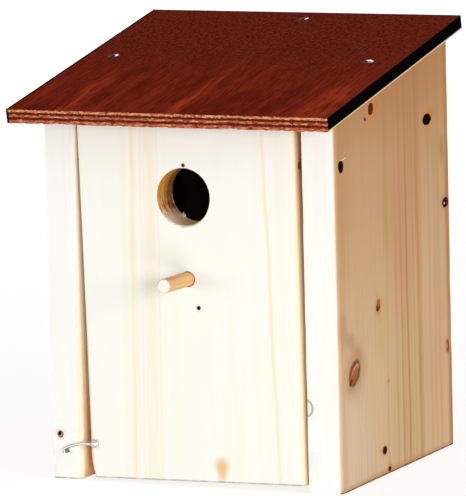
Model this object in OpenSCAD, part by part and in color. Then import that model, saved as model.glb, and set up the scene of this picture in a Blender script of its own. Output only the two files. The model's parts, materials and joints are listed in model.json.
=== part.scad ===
// Nest box with a sloping plywood roof and a front that swings up on two screws.
// X runs across the front, Y from front to back, Z up from the floor's underside.

/* [Box] */
// Width across the two side walls
box_w = 175; // [140:1:260]
// Depth of the side walls, front edge to back edge
box_d = 162; // [120:1:240]
// Height of the side walls at their front edge
front_h = 208; // [180:1:300]
// Thickness of the left wall, which is cut from a thinner board
left_wall_t = 18; // [14:0.5:26]
// Thickness of the right wall
right_wall_t = 20; // [14:0.5:26]
// Thickness of the back wall
back_wall_t = 20; // [14:0.5:26]
// Thickness of the floor board
floor_t = 20; // [14:0.5:26]

/* [Roof] */
// Slope of the roof, falling towards the front, in degrees
roof_pitch = 10.5; // [4:0.5:25]
// Thickness of the plywood roof
roof_t = 8; // [5:0.5:15]
// How far the roof passes each side wall
roof_side_overhang = 8.5; // [2:0.5:25]
// How far the roof passes the front, along the slope
roof_front_overhang = 29; // [10:0.5:60]
// How far the roof passes the back, along the slope
roof_back_overhang = 4; // [0:0.5:20]

/* [Front door] */
// Thickness of the front door
door_t = 20; // [14:0.5:26]
// Mean gap between the door and each side wall
door_side_gap = 3.5; // [2.5:0.1:6]
// How far the door hangs to the left of the middle of its opening
door_offset = 1.1; // [0:0.1:1.5]
// Lean of the door in its opening, foot to the right, in degrees
door_lean = 0.8; // [0:0.1:0.8]
// Gap between the door's foot and the ground
door_foot_gap = 2.5; // [2:0.1:8]
// Gap between the door's top and the roof line at the front
door_top_gap = 6; // [5:0.1:12]
// Gap between the back of the door and the floor board
door_floor_gap = 5; // [3:0.1:10]
// Diameter of the entry hole
entry_d = 32; // [25:1:45]
// Drop from the side wall's front top corner to the middle of the entry hole
entry_drop = 47; // [40:1:70]
// How far the entry hole lies to the left of the door's centre line
entry_offset = 2; // [-10:0.5:10]

/* [Perch] */
// Diameter of the perch
perch_d = 8; // [6:0.5:12]
// How far the perch stands out of the door
perch_reach = 31; // [20:0.5:70]
// Wood left behind the perch in the door
perch_backing = 3; // [1:0.5:6]
// Drop from the middle of the entry hole to the perch
perch_drop = 45.5; // [30:0.5:70]
// How far the perch lies to the right of the door's centre line
perch_offset = -1.5; // [-10:0.5:10]
// Upward tilt of the perch, in degrees
perch_tilt = 1; // [0:0.5:10]
// Mean room around the perch, which sits at the left of its hole
perch_room = 0.4; // [0.1:0.05:0.9]

/* [Pivot screws] */
// Drop from the side wall's front top corner to the pivot
pivot_drop = 28.5; // [24:0.5:40]
// Distance of the pivot behind the front face
pivot_setback = 7; // [6:0.5:10]
// Diameter of the pivot screw's shank
pivot_d = 4; // [3:0.1:5]
// Running clearance around the shank in the side wall
pivot_clearance = 0.08; // [0.03:0.01:0.1]
// How far the shank reaches into the door
pivot_reach = 20; // [12:1:30]
// Diameter of the sinking that hides the screw's head
sink_d = 7; // [6.5:0.1:9]
// Depth of that sinking
sink_depth = 6; // [4:0.5:8]

/* [Catch] */
// Diameter of the hook's wire
wire_d = 1.6; // [1.2:0.1:2.4]
// Diameter of the pin that the hook turns on
hook_pin_d = 1.4; // [1:0.1:2]
// Running clearance between that pin and the hook's eye
eye_clearance = 0.08; // [0.03:0.01:0.1]
// Height of the hook's pin
hook_pin_h = 21.6; // [12:0.2:60]
// Distance of the hook's pin from the door's left edge
hook_pin_inset = 3.2; // [2.5:0.1:8]
// Distance of the catch pin from the left wall's inner face
catch_inset = 9; // [6:0.5:12]
// Drop from the hook's pin to the catch pin
catch_drop = 5; // [2:0.5:8]
// Diameter of the catch pin
catch_d = 1.6; // [1.2:0.1:2.4]
// Clearance between the hook and what it lies against
hook_gap = 0.3; // [0.2:0.05:0.6]
// Radius of the bow in the hook's arm
arm_r = 30; // [24:1:60]

/* [Roof screws] */
// Diameter of a roof screw's head
roof_screw_head_d = 7; // [6:0.1:9]
// Diameter of a roof screw's shank
roof_screw_d = 3.5; // [3:0.1:5]
// Length of a roof screw
roof_screw_l = 32; // [20:1:50]
// Distance of the side screws behind the front face
side_screw_y = 74; // [40:1:90]
// How far the back screw lies to the right of the middle
back_screw_x = 5; // [-30:1:30]

/* [Nails] */
// Diameter of a nail's shank
nail_d = 2.2; // [1.6:0.1:3]
// Diameter of a nail's head
nail_head_d = 4.2; // [3.4:0.1:6]
// Length of a nail
nail_l = 45; // [35:1:60]
// Drop from the side wall's front top corner to its upper nail
upper_nail_drop = 68; // [50:1:90]
// Height of the lower nail of each side wall
lower_nail_h = 58; // [35:1:90]
// Distance of those nails from the back edge
back_nail_inset = 6; // [4:0.5:12]
// Distance of the floor nail behind the front face
floor_nail_y = 61; // [40:1:100]

/* [Hidden] */
$fn = 48;

// Sides of the box, as the sign of their X
left = -1;
right = 1;

front_y = -box_d / 2;
back_y = box_d / 2;
inner_left = -box_w / 2 + left_wall_t;
inner_right = box_w / 2 - right_wall_t;
floor_front_y = front_y + door_t + door_floor_gap;
roof_rise = tan(roof_pitch);

// Room around a fastener in its hole, and how far a cut runs past a face
seat = 0.05;
past = 1;

// The door hangs on a line through the two pivot screws
pivot_y = front_y + pivot_setback;
pivot_h = front_h - pivot_drop;
door_w = inner_right - inner_left - 2 * door_side_gap;
door_x = (inner_left + inner_right) / 2 - door_offset;
door_h = front_h - door_top_gap - door_foot_gap;

entry_h = front_h - entry_drop;
perch_h = entry_h - perch_drop;
perch_depth = door_t - perch_backing;
upper_nail_h = front_h - upper_nail_drop;

// Shapes of the fasteners' heads and points
point_l = 3;
pivot_head_d = sink_d - 0.8;
pivot_head_t = 2.6;
pivot_head_gap = 0.3;
roof_screw_head_t = 2.2;
recess_w = 0.9;
recess_depth = 1.5;
recess_share = 0.6;
nail_head_t = 0.9;
nail_sink = 0.3;
floor_nail_h = floor_t * 0.7;
perch_chamfer = 0.5;

// The hook lies just in front of the door, its eye behind the head of its pin
hook_y = front_y - hook_gap - wire_d / 2;
hook_head_y = hook_y - wire_d / 2 - hook_gap;
hook_head_d = 4.2;
hook_head_t = 1;
hook_pin_depth = 12;
catch_reach = 3.2;
catch_depth = 14;
eye_r = hook_pin_d / 2 + eye_clearance + wire_d / 2;
tip_r = catch_d / 2 + hook_gap + wire_d / 2;
tail_l = 1.2;
arm_foot_angle = 195;
hook_pin_at = leaned([door_x - door_w / 2 + hook_pin_inset, hook_pin_h]);
catch_at = [inner_left - catch_inset, hook_pin_at[1] - catch_drop];
arm_foot = hook_pin_at + eye_r * [cos(arm_foot_angle), sin(arm_foot_angle)];
arm_centre = lower_meeting(catch_at, arm_r - tip_r, arm_foot, arm_r);
arm_start = direction(arm_centre, arm_foot);
arm_end = direction(arm_centre, catch_at);
arm_steps = 10;
tip_steps = 8;

// Where a point [x, z] of the upright door lies after the door's lean
function leaned(p) = let (dx = p[0] - door_x, dz = p[1] - pivot_h) [
    door_x + dx * cos(door_lean) - dz * sin(door_lean),
    pivot_h + dx * sin(door_lean) + dz * cos(door_lean)
];

// Direction from p to q, in degrees
function direction(p, q) = atan2(q[1] - p[1], q[0] - p[0]);

// Lower point at distance rp from p and rq from q, where p lies to the left of q
function lower_meeting(p, rp, q, rq) = let (
        d = norm(q - p),
        u = (q - p) / d,
        along = (d * d + rp * rp - rq * rq) / (2 * d)
    ) p + along * u + sqrt(rp * rp - along * along) * [u[1], -u[0]];

// Point of the hook's outline beside a station, which is [centre, radius, angle]
function edge_point(station, out) =
    station[0] + (station[1] + out) * [cos(station[2]), sin(station[2])];

// Height of the roof's underside at a distance behind the front face
function roof_line(y) = front_h + y * roof_rise;

// Places. Every fastener points down from a surface at z = 0, and these turn +Z outwards.

module on_roof() {
    translate([0, front_y, front_h]) rotate([roof_pitch, 0, 0]) children();
}

module on_side(side, y, h) {
    translate([side * box_w / 2, y, h]) rotate([0, side * 90, 0]) children();
}

module on_front(y) {
    translate([0, y, 0]) rotate([90, 0, 0]) children();
}

// The door's own frame, which leans: X from its centre line, Z still counted from the ground
module on_door() {
    translate([door_x, 0, pivot_h]) rotate([0, -door_lean, 0]) translate([0, 0, -pivot_h]) children();
}

module at_side_roof_screw(side) {
    wall_middle = side == left ? (inner_left - box_w / 2) / 2 : (inner_right + box_w / 2) / 2;
    on_roof() translate([wall_middle, side_screw_y / cos(roof_pitch), roof_t]) children();
}

module at_back_roof_screw() {
    on_roof() translate([back_screw_x, (box_d - back_wall_t / 2) / cos(roof_pitch), roof_t]) children();
}

module at_upper_nail(side) on_side(side, back_y - back_nail_inset, upper_nail_h) children();
module at_lower_nail(side) on_side(side, back_y - back_nail_inset, lower_nail_h) children();
module at_floor_nail(side) on_side(side, front_y + floor_nail_y, floor_nail_h) children();
module at_pivot(side) on_side(side, pivot_y, pivot_h) children();

// Fasteners. Room around one makes it the shape of its hole.

module pointed_shank(d, l, room = 0) {
    translate([0, 0, point_l - l]) cylinder(d = d + 2 * room, h = l - point_l);
    translate([0, 0, -l]) cylinder(d1 = 2 * room, d2 = d + 2 * room, h = point_l);
}

module cross_recess(head_d) {
    across = head_d * recess_share;
    for (turn = [0, 90])
        rotate([0, 0, turn]) translate([-across / 2, -recess_w / 2, -recess_depth])
            cube([across, recess_w, recess_depth + past]);
}

module nail(room = 0) {
    translate([0, 0, -nail_sink]) {
        pointed_shank(nail_d, nail_l, room);
        translate([0, 0, -nail_head_t]) cylinder(d = nail_head_d + 2 * room, h = nail_head_t);
    }
}

module nail_hole() {
    nail(seat);
    translate([0, 0, -nail_sink]) cylinder(d = nail_head_d + 2 * seat, h = nail_sink + past);
}

module roof_screw_body(room = 0) {
    pointed_shank(roof_screw_d, roof_screw_l, room);
    translate([0, 0, -roof_screw_head_t])
        cylinder(d1 = roof_screw_d + 2 * room, d2 = roof_screw_head_d + 2 * room, h = roof_screw_head_t);
}

module roof_screw() {
    difference() {
        roof_screw_body();
        cross_recess(roof_screw_head_d);
    }
}

module roof_screw_hole() {
    roof_screw_body(seat);
    cylinder(d = roof_screw_head_d + 2 * seat, h = past);
}

// Shank of a pivot screw, from the bottom of the sinking into the door's edge
module pivot_shank(side, room = 0) {
    gap = side == left ? door_x - door_w / 2 - inner_left : inner_right - door_x - door_w / 2;
    wall_t = side == left ? left_wall_t : right_wall_t;
    translate([0, 0, -sink_depth])
        pointed_shank(pivot_d, wall_t - sink_depth + gap + pivot_reach, room);
}

module pivot_screw(side) {
    at_pivot(side) difference() {
        union() {
            pivot_shank(side);
            translate([0, 0, -sink_depth]) cylinder(d = pivot_d, h = pivot_head_gap);
            translate([0, 0, pivot_head_gap - sink_depth]) cylinder(d = pivot_head_d, h = pivot_head_t);
        }
        translate([0, 0, pivot_head_gap + pivot_head_t - sink_depth]) cross_recess(pivot_head_d);
    }
}

// Boards

// Upright board from x0 to x1 and y0 to y1, cut to the roof's slope at its top
module sloped_board(x0, x1, y0, y1) {
    translate([x0, 0, 0]) rotate([90, 0, 90]) linear_extrude(x1 - x0)
        polygon([[y0, 0], [y1, 0], [y1, roof_line(y1 - front_y)], [y0, roof_line(y0 - front_y)]]);
}

module side_wall(side, x0, x1) {
    difference() {
        sloped_board(x0, x1, front_y, back_y);
        at_upper_nail(side) nail_hole();
        at_lower_nail(side) nail_hole();
        at_floor_nail(side) nail_hole();
        at_side_roof_screw(side) roof_screw_hole();
        at_pivot(side) {
            translate([0, 0, -sink_depth]) cylinder(d = sink_d, h = sink_depth + past);
            translate([0, 0, -(x1 - x0) - past])
                cylinder(d = pivot_d + 2 * pivot_clearance, h = x1 - x0 + 2 * past);
        }
    }
}

module left_wall() {
    color("wheat") difference() {
        side_wall(left, -box_w / 2, inner_left);
        on_front(front_y) translate(catch_at) translate([0, 0, -catch_depth])
            cylinder(d = catch_d + 2 * seat, h = catch_depth + past);
    }
}

module right_wall() {
    color("wheat") side_wall(right, inner_right, box_w / 2);
}

module back_wall() {
    color("wheat") difference() {
        sloped_board(inner_left, inner_right, back_y - back_wall_t, back_y);
        for (side = [left, right]) {
            at_upper_nail(side) nail_hole();
            at_lower_nail(side) nail_hole();
        }
        at_back_roof_screw() roof_screw_hole();
    }
}

module floor_board() {
    color("wheat") difference() {
        translate([inner_left, floor_front_y, 0])
            cube([inner_right - inner_left, back_y - back_wall_t - floor_front_y, floor_t]);
        for (side = [left, right]) at_floor_nail(side) nail_hole();
    }
}

module roof_panel() {
    color("saddlebrown") difference() {
        on_roof() translate([-box_w / 2 - roof_side_overhang, -roof_front_overhang, 0])
            cube([
                box_w + 2 * roof_side_overhang,
                roof_front_overhang + box_d / cos(roof_pitch) + roof_back_overhang,
                roof_t
            ]);
        for (side = [left, right]) at_side_roof_screw(side) roof_screw_hole();
        at_back_roof_screw() roof_screw_hole();
    }
}

module front_door() {
    color("cornsilk") difference() {
        on_door() translate([-door_w / 2, front_y, door_foot_gap]) cube([door_w, door_t, door_h]);
        on_door() translate([-entry_offset, front_y + door_t + past, entry_h]) rotate([90, 0, 0])
            cylinder(d = entry_d, h = door_t + 2 * past);
        at_perch() translate([perch_room - seat, 0, -perch_depth])
            cylinder(d = perch_d + 2 * perch_room, h = perch_depth + past);
        on_front(front_y) translate(hook_pin_at) translate([0, 0, -hook_pin_depth])
            cylinder(d = hook_pin_d + 2 * seat, h = hook_pin_depth + past);
        for (side = [left, right]) at_pivot(side) pivot_shank(side, seat);
    }
}

// Perch and hook

module at_perch() {
    on_door() translate([perch_offset, front_y, perch_h]) rotate([90 - perch_tilt, 0, 0]) children();
}

module perch() {
    color("burlywood") at_perch() {
        translate([0, 0, -perch_depth]) cylinder(d = perch_d, h = perch_depth + perch_reach - perch_chamfer);
        translate([0, 0, perch_reach - perch_chamfer])
            cylinder(d1 = perch_d, d2 = perch_d - 2 * perch_chamfer, h = perch_chamfer);
    }
}

module left_pivot_screw() color("silver") pivot_screw(left);
module right_pivot_screw() color("silver") pivot_screw(right);

// Pin with a domed head, which the hook turns on
module hook_pin() {
    dome_r = (pow(hook_head_d / 2, 2) + pow(hook_head_t, 2)) / (2 * hook_head_t);
    shank_l = hook_pin_depth + front_y - hook_head_y;
    color("silver") on_front(hook_head_y) translate(hook_pin_at) {
        translate([0, 0, -shank_l]) cylinder(d = hook_pin_d, h = shank_l);
        intersection() {
            cylinder(d = hook_head_d, h = hook_head_t);
            translate([0, 0, hook_head_t - dome_r]) sphere(dome_r);
        }
    }
}

// Headless pin that the hook drops over
module catch_pin() {
    color("silver") on_front(front_y) translate(catch_at) translate([0, 0, -catch_depth])
        cylinder(d = catch_d, h = catch_depth + catch_reach);
}

// Flat outline of the hook's arm: a long bow, then a small turn over the catch pin and a tail
module arm_outline() {
    stations = [
        for (i = [0:arm_steps]) [arm_centre, arm_r, arm_start + (arm_end - arm_start) * i / arm_steps],
        for (i = [1:tip_steps]) [catch_at, tip_r, arm_end + (180 - arm_end) * i / tip_steps],
        [catch_at - [0, tail_l], tip_r, 180]
    ];
    last = len(stations) - 1;
    polygon([
        for (i = [0:last]) edge_point(stations[i], wire_d / 2),
        for (i = [0:last]) edge_point(stations[last - i], -wire_d / 2)
    ]);
}

module hook_wire() {
    color("silver") on_front(hook_y + wire_d / 2) linear_extrude(wire_d) difference() {
        union() {
            translate(hook_pin_at) circle(r = eye_r + wire_d / 2);
            arm_outline();
        }
        translate(hook_pin_at) circle(r = eye_r - wire_d / 2);
    }
}

module left_roof_screw() color("silver") at_side_roof_screw(left) roof_screw();
module right_roof_screw() color("silver") at_side_roof_screw(right) roof_screw();
module back_roof_screw() color("silver") at_back_roof_screw() roof_screw();

module left_upper_nail() color("dimgray") at_upper_nail(left) nail();
module left_lower_nail() color("dimgray") at_lower_nail(left) nail();
module left_floor_nail() color("dimgray") at_floor_nail(left) nail();
module right_upper_nail() color("dimgray") at_upper_nail(right) nail();
module right_lower_nail() color("dimgray") at_lower_nail(right) nail();
module right_floor_nail() color("dimgray") at_floor_nail(right) nail();

left_wall();
right_wall();
back_wall();
floor_board();
roof_panel();
front_door();
perch();
left_pivot_screw();
right_pivot_screw();
hook_pin();
hook_wire();
catch_pin();
left_roof_screw();
right_roof_screw();
back_roof_screw();
left_upper_nail();
left_lower_nail();
left_floor_nail();
right_upper_nail();
right_lower_nail();
right_floor_nail();
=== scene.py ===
import json
import math

import bmesh
import bpy
from bpy.props import FloatProperty, FloatVectorProperty, IntProperty, PointerProperty
from mathutils import Matrix, Vector, noise


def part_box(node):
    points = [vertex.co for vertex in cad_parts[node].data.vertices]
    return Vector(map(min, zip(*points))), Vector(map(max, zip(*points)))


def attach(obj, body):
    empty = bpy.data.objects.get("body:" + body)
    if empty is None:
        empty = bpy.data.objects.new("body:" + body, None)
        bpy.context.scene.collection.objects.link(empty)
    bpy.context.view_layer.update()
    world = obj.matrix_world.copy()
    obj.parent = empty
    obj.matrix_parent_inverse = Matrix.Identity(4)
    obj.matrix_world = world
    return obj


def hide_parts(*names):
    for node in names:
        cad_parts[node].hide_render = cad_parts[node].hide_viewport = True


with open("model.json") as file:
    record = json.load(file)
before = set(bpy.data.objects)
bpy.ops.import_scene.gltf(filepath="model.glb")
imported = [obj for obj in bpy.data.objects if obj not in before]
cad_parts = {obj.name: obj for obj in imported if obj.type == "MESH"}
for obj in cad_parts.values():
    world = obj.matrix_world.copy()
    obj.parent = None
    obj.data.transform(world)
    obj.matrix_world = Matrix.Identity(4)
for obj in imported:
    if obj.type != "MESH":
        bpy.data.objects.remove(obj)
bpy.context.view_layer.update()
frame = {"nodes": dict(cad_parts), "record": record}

bl_info = {
    "name": "Nest box finish",
    "version": (1, 0, 0),
    "blender": (4, 5, 0),
    "location": "View3D > Sidebar > Nest box",
    "description": "Shapes and finishes the boards, roof, perch and fittings of a wooden nest box",
    "category": "Object",
}

MM = 0.001

MERGE = 0.002 * MM  # vertices closer than this are one
FLAT = math.radians(1)  # faces that meet at less than this are one
SHARP = math.radians(30)  # edges sharper than this are eased
CREASE = math.radians(48)  # edges sharper than this aren't shaded smooth
SMALL_FACE = 30 * MM * MM  # faces smaller than this are shaded smooth
FOOT_BAND = 24.4 * MM  # height of the finely cut foot of the boards
FINE_STEP = 1.5 * MM
COARSE_STEP = 6 * MM
INSIDE_STEP = 8 * MM
DOOR_LEAN = 2.4 * MM  # how far the front's sides lean inwards
BOARD_WEAR = 90  # how closely the worn places follow each other on a board's edges
PERCH_WEAR = 500
CHIPS = 420  # how closely the chips follow each other on the roof's edge
CORNER_REACH = 5 * MM  # how far in from the edge a worn corner goes
CORNER_BACK = 25 * MM  # how far back from the front it goes
SUNK_RADIUS = 3.7 * MM  # a little more than the widest hole over a screw or nail
FLOOR_REACH = 30
FLOOR_DROP = 0.15 * MM
LAMP_DISTANCE = 3
LAMP_AIM = 0.12  # the height that the lamps face

RIGHT_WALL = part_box("right_wall")
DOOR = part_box("front_door")
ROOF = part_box("roof_panel")
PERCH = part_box("perch")
HOOK_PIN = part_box("hook_pin")
CATCH_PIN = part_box("catch_pin")
HOOK_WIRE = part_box("hook_wire")
FRONT_Y = RIGHT_WALL[0].y

RIGHT, BACK, UP = Vector((1, 0, 0)), Vector((0, 1, 0)), Vector((0, 0, 1))
EVEN = (1, 1, 1)


def colour(name, description, default):
    """A colour that the sidebar shows, given as it looks on screen from 0 to 255."""
    linear = [((c / 255 + 0.055) / 1.055) ** 2.4 if c > 10 else c / 255 / 12.92 for c in default]
    return FloatVectorProperty(
        name=name, description=description, subtype="COLOR", size=4, min=0, max=1, default=(*linear, 1)
    )


def length(name, description, millimetres, most):
    """A length that the sidebar shows, with its default and its most in millimetres."""
    return FloatProperty(
        name=name, description=description, default=millimetres * MM, min=0, max=most * MM,
        precision=5, subtype="DISTANCE", unit="LENGTH",
    )


def angle(name, description, degrees):
    return FloatProperty(
        name=name, description=description, default=math.radians(degrees), subtype="ANGLE", unit="ROTATION"
    )


def power(name, description, watts):
    return FloatProperty(
        name=name, description=description, default=watts, min=0, max=500, subtype="POWER", unit="POWER"
    )


class NestBoxTimber(bpy.types.PropertyGroup):
    arris: length("Arris", "Width of the eased edges of the boards", 0.7, 3)
    gap_arris: length("Gap arris", "Width of the rounded edges beside the gaps", 2.6, 5)
    corner_arris: length("Corner arris", "Width of the right wall's rounded outer front edge", 2.0, 5)
    wear: length("Wear", "How deep the eased edges are worn in places", 0.35, 2)
    ring_spacing: length("Ring spacing", "Width of one year's growth", 3.4, 12)
    corner_drop: length("Worn corner height", "Height of the worn corners beside the left gap", 13, 40)
    corner_depth: length("Worn corner depth", "How far the front's corner is worn away sideways", 2.6, 6)
    mouth: length("Mouth", "Radius of the rounded lower rim of the entry hole", 1.4, 4)
    # The side walls are one pine: their wide faces take a darker, warmer copy of it as painted shade, and
    # their edges that look to the front a lighter copy as painted light
    face: colour("Board face", "Wide faces of the side walls", (221, 187, 147))
    late: colour("Late wood", "Darker lines of the grain", (190, 134, 88))
    planed: colour("Planed edge", "Front and back edges of the side walls", (251, 251, 246))
    planed_late: colour("Planed late wood", "Grain lines of the planed edges", (250, 238, 214))
    front: colour("Front", "Face of the front board", (251, 250, 241))
    front_late: colour("Front late wood", "Grain lines of the front board", (250, 230, 188))
    # Painted shade: the sides of the boards in the gaps go from gap_side at the mouth to gap_deep further
    # in, as the shade deepens into the gaps
    gap_side: colour("Gap side", "Sides of the boards that face the gaps", (255, 236, 206))
    gap_deep: colour("Gap depth", "The same sides further in", (244, 162, 104))
    # Painted shade: a thin line of shade along the foot of the front and the left wall, where they meet the
    # floor
    soiled: colour("Soiled edge", "Thin line of dirt along the foot of the front", (160, 164, 152))
    end_grain: colour("End grain", "Sawn ends of the boards", (220, 178, 128))
    # Painted shade and light in the entry hole: its wall darkens inwards towards bore_dark and is pale at
    # its lowest part with bore_pale; bore_dark also colours its real darker layers
    bore: colour("Bored wood", "Wall of the entry hole", (232, 164, 86))
    bore_dark: colour("Bored wood streak", "Darker layers in the hole's wall", (120, 54, 24))
    bore_pale: colour("Torn end grain", "Lowest part of the hole's wall", (255, 240, 206))
    # Painted shade: the dark colour of the holes over the sunk screws and nails stands for the shade in them
    sunk: colour("Sunk hole", "Inside of the screw and nail holes", (44, 24, 14))
    # Partly painted shade: the unplaned inside faces are darkened beyond the wood's own tone, for the shade
    # inside the box
    inside: colour("Inside", "Unplaned faces inside the box", (132, 97, 66))
    rosy: colour("Rosy wood", "Faint rosy patches of the right wall", (219, 172, 135))
    yellow: colour("Yellow wood", "Faint yellow patches of the right wall", (210, 182, 125))
    pale: colour("Pale wood", "Pale foot of the right wall", (226, 200, 166))
    # Partly painted shade: brown is the wood's browner tone at the back edge, and painted shade high on the
    # right wall under the roof and along its foot
    brown: colour("Brown wood", "Browner head and back edge of the right wall", (190, 138, 92))


class NestBoxKnots(bpy.types.PropertyGroup):
    sound: colour("Sound knot", "Middle of a knot that is tight in the board", (236, 192, 126))
    amber: colour("Amber knot", "Middle of the pin knot", (206, 132, 56))
    red: colour("Red knot", "Middle of the large knot low on the right wall", (178, 98, 64))
    dark: colour("Dark knot", "Middle of a loose knot", (22, 12, 8))
    rim: colour("Knot rim", "Bark ring round a knot", (94, 42, 18))
    pale: colour("Pale grain", "Pale sliver inside the large knot", (236, 176, 132))
    olive: colour("Olive ring", "Grey-green wood round a knot", (160, 136, 92))
    halo: colour("Knot halo", "Resin-coloured wood round a knot", (214, 146, 90))


class NestBoxRoof(bpy.types.PropertyGroup):
    arris: length("Arris", "Width of the eased edges of the roof", 0.35, 2)
    chips: length("Chips", "How deep the lower front edge is chipped", 0.9, 3)
    stain: colour("Stain", "Stained top of the roof", (158, 54, 34))
    stain_dark: colour("Dark stain", "Where the stain lies deepest", (92, 25, 16))
    stain_back: colour("Stain at the back", "Browner stain towards the back", (140, 56, 38))
    streak: colour("Streak", "Worn streaks that run from front to back", (198, 74, 37))
    ply_light: colour("Light ply", "Top ply at the front edge", (216, 128, 88))
    ply_middle: colour("Middle ply", "Middle and lowest plies at the front edge", (184, 82, 56))
    ply_dark: colour("Dark ply", "Plies between them", (92, 34, 16))
    ply_fleck: colour("Ply fleck", "Pale torn flecks at the front edge", (240, 176, 136))
    side: colour("Side edge", "Painted side edges of the roof", (8, 6, 6))
    # Painted highlight: the thin pale line where the lower edge of the roof's side edges catches the light
    side_foot: colour("Side edge's foot", "Thin bare line under the side edges' paint", (246, 220, 180))


class NestBoxFittings(bpy.types.PropertyGroup):
    arris: length("Arris", "Width of the eased edges of the metal parts", 0.12, 0.5)
    bow: length("Bow of the hook", "Radius of the bow in the hook's arm", 30, 60)
    eye: length("Eye of the hook", "Radius of the middle of the wire in the eye", 1.58, 4)
    tip: length("Tip of the hook", "Radius of the middle of the wire over the catch pin", 1.9, 4)
    tail: length("Tail of the hook", "Straight end of the wire below the catch pin", 1.2, 4)
    wire_sides: IntProperty(
        name="Wire sides", description="Faces round the wire", default=16, min=8, max=32
    )
    zinc: colour("Zinc", "Zinc plating of the screws", (196, 194, 190))
    wire: colour("Wire", "Bright wire of the hook", (190, 192, 188))
    dull: colour("Dull steel", "Dull end of the catch pin", (132, 134, 122))
    steel: colour("Dark steel", "Dark spots of the catch pin", (34, 22, 18))
    stained: colour("Stained screw", "Stain over the heads of the roof screws", (66, 20, 13))
    rust: colour("Rust", "Rust on the pivot screws and in spots on the nails", (108, 52, 32))
    black: colour("Black rust", "Dark rust of the upper and the floor nails", (44, 18, 16))
    orange: colour("Orange rust", "Bright rust of the lower nails", (206, 132, 84))
    bright: colour("Bare nail", "Worn middle of a nail's head", (206, 168, 166))


class NestBoxDowel(bpy.types.PropertyGroup):
    arris: length("Arris", "Width of the eased rim of the perch", 0.3, 1)
    side: colour("Dowel side", "Side of the perch", (230, 184, 128))
    late: colour("Dowel grain", "Darker grain of the perch", (204, 142, 84))
    # Painted light: the end is paler than the side
    end: colour("Dowel end", "End of the perch", (252, 248, 236))


class NestBoxStage(bpy.types.PropertyGroup):
    lens: FloatProperty(
        name="Lens", description="Focal length of the camera", default=386.6 * MM, min=0.05, max=1,
        precision=4, subtype="DISTANCE_CAMERA",
    )
    azimuth: angle("Azimuth", "How far the camera stands round to the right", 24.37)
    elevation: angle("Elevation", "Height of the camera as an angle", 8.07)
    roll: angle("Roll", "Turn of the camera about its own line of sight", 1.42)
    distance: length("Distance", "Distance of the camera from the foot of the box's front", 2942.2, 9000)
    aside: length("Aside", "How far the camera is moved to its right", 23.1, 500)
    up: length("Up", "How far the camera is moved up", 131, 500)
    sky: FloatProperty(
        name="Sky", description="Strength of the even light from all round", default=0.35, min=0, max=3
    )
    key: power("Key lamp", "Power of the large lamp at the front left", 20.8)
    low: power("Low lamp", "Power of the wide lamp below the front, as a white table would give", 24.5)
    fill: power("Fill lamp", "Power of the lamp at the front right", 22)
    side: power("Side lamp", "Power of the lamp at the right", 27)
    back: power("Back lamp", "Power of the large lamp behind the box on its left", 44)
    floor: FloatProperty(
        name="Floor", description="Share of the floor that takes a shadow", default=0.3, min=0, max=1
    )


# Meshes


def cad_copy(node):
    """A merged copy of a CAD node's mesh, as a bmesh."""
    bm = bmesh.new()
    bm.from_mesh(frame["nodes"][node].data)
    bmesh.ops.remove_doubles(bm, verts=bm.verts, dist=MERGE)
    bmesh.ops.dissolve_limit(bm, angle_limit=FLAT, verts=bm.verts, edges=bm.edges)
    return bm


def slice_across(bm, normal, start, stop, step):
    """Cuts a mesh across, so that its long edges can be worn unevenly."""
    for i in range(1, int((stop - start) / step)):
        bmesh.ops.bisect_plane(
            bm, geom=bm.verts[:] + bm.edges[:] + bm.faces[:], dist=MERGE,
            plane_co=Vector(normal) * (start + i * step), plane_no=normal,
        )


def slice_upright(bm, low, high):
    """Cuts an upright board across, closer together at its foot."""
    slice_across(bm, UP, low.z, low.z + FOOT_BAND, FINE_STEP)
    slice_across(bm, UP, low.z + FOOT_BAND, high.z, COARSE_STEP)


def round_edges(bm, edges, width, segments):
    return bmesh.ops.bevel(
        bm, geom=edges, offset=width, offset_type="OFFSET", affect="EDGES", segments=segments,
        profile=0.5, material=-1, clamp_overlap=True,
    )["faces"]


def ease(bm, width, segments):
    """Rounds the sharp edges and returns the vertices of the rounding."""
    sharp = [e for e in bm.edges if e.is_manifold and e.calc_face_angle() > SHARP]
    return {v for f in round_edges(bm, sharp, width, segments) for v in f.verts}


def wear_down(bm, verts, depth, scale, seed):
    """Moves the vertices of a rounding inwards, unevenly along it."""
    bm.normal_update()
    moves = []
    for v in verts:
        share = max(0.0, noise.noise(v.co * scale + Vector((seed, 0, 0))))
        moves.append((v, v.normal * depth * share))
    for v, move in moves:
        v.co -= move


def ease_board(bm, props, segments, seed):
    wear_down(bm, ease(bm, props.arris, segments), props.wear, BOARD_WEAR, seed)


def round_front_edge(bm, edge_x, width):
    """Rounds the upright front edge of a board at one side, before it is cut across."""
    sideways, forwards, shortest = 3 * MM, 0.1 * MM, 50 * MM
    near = [
        e for e in bm.edges
        if all(abs(v.co.x - edge_x) < sideways and abs(v.co.y - FRONT_Y) < forwards for v in e.verts)
        and abs(e.verts[0].co.z - e.verts[1].co.z) > shortest
    ]
    round_edges(bm, near, width, 4)


def widen_mouth(bm, hole, radius, reach):
    """Rounds the lower rim of the entry hole outwards, most at its foot."""
    rim, lowest = 1.4 * MM, Vector((0.1, 0, -1)).normalized()
    for v in bm.verts:
        offset = Vector((v.co.x - hole.x, 0, v.co.z - hole.z))
        inwards = 1 - (v.co.y - FRONT_Y) / reach
        if abs(offset.length - radius) < rim and inwards > 0:
            share = max(0.0, offset.normalized().dot(lowest)) ** 3
            v.co += offset.normalized() * reach * share * (1 - math.sqrt(max(0.0, 1 - inwards * inwards)))


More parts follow.
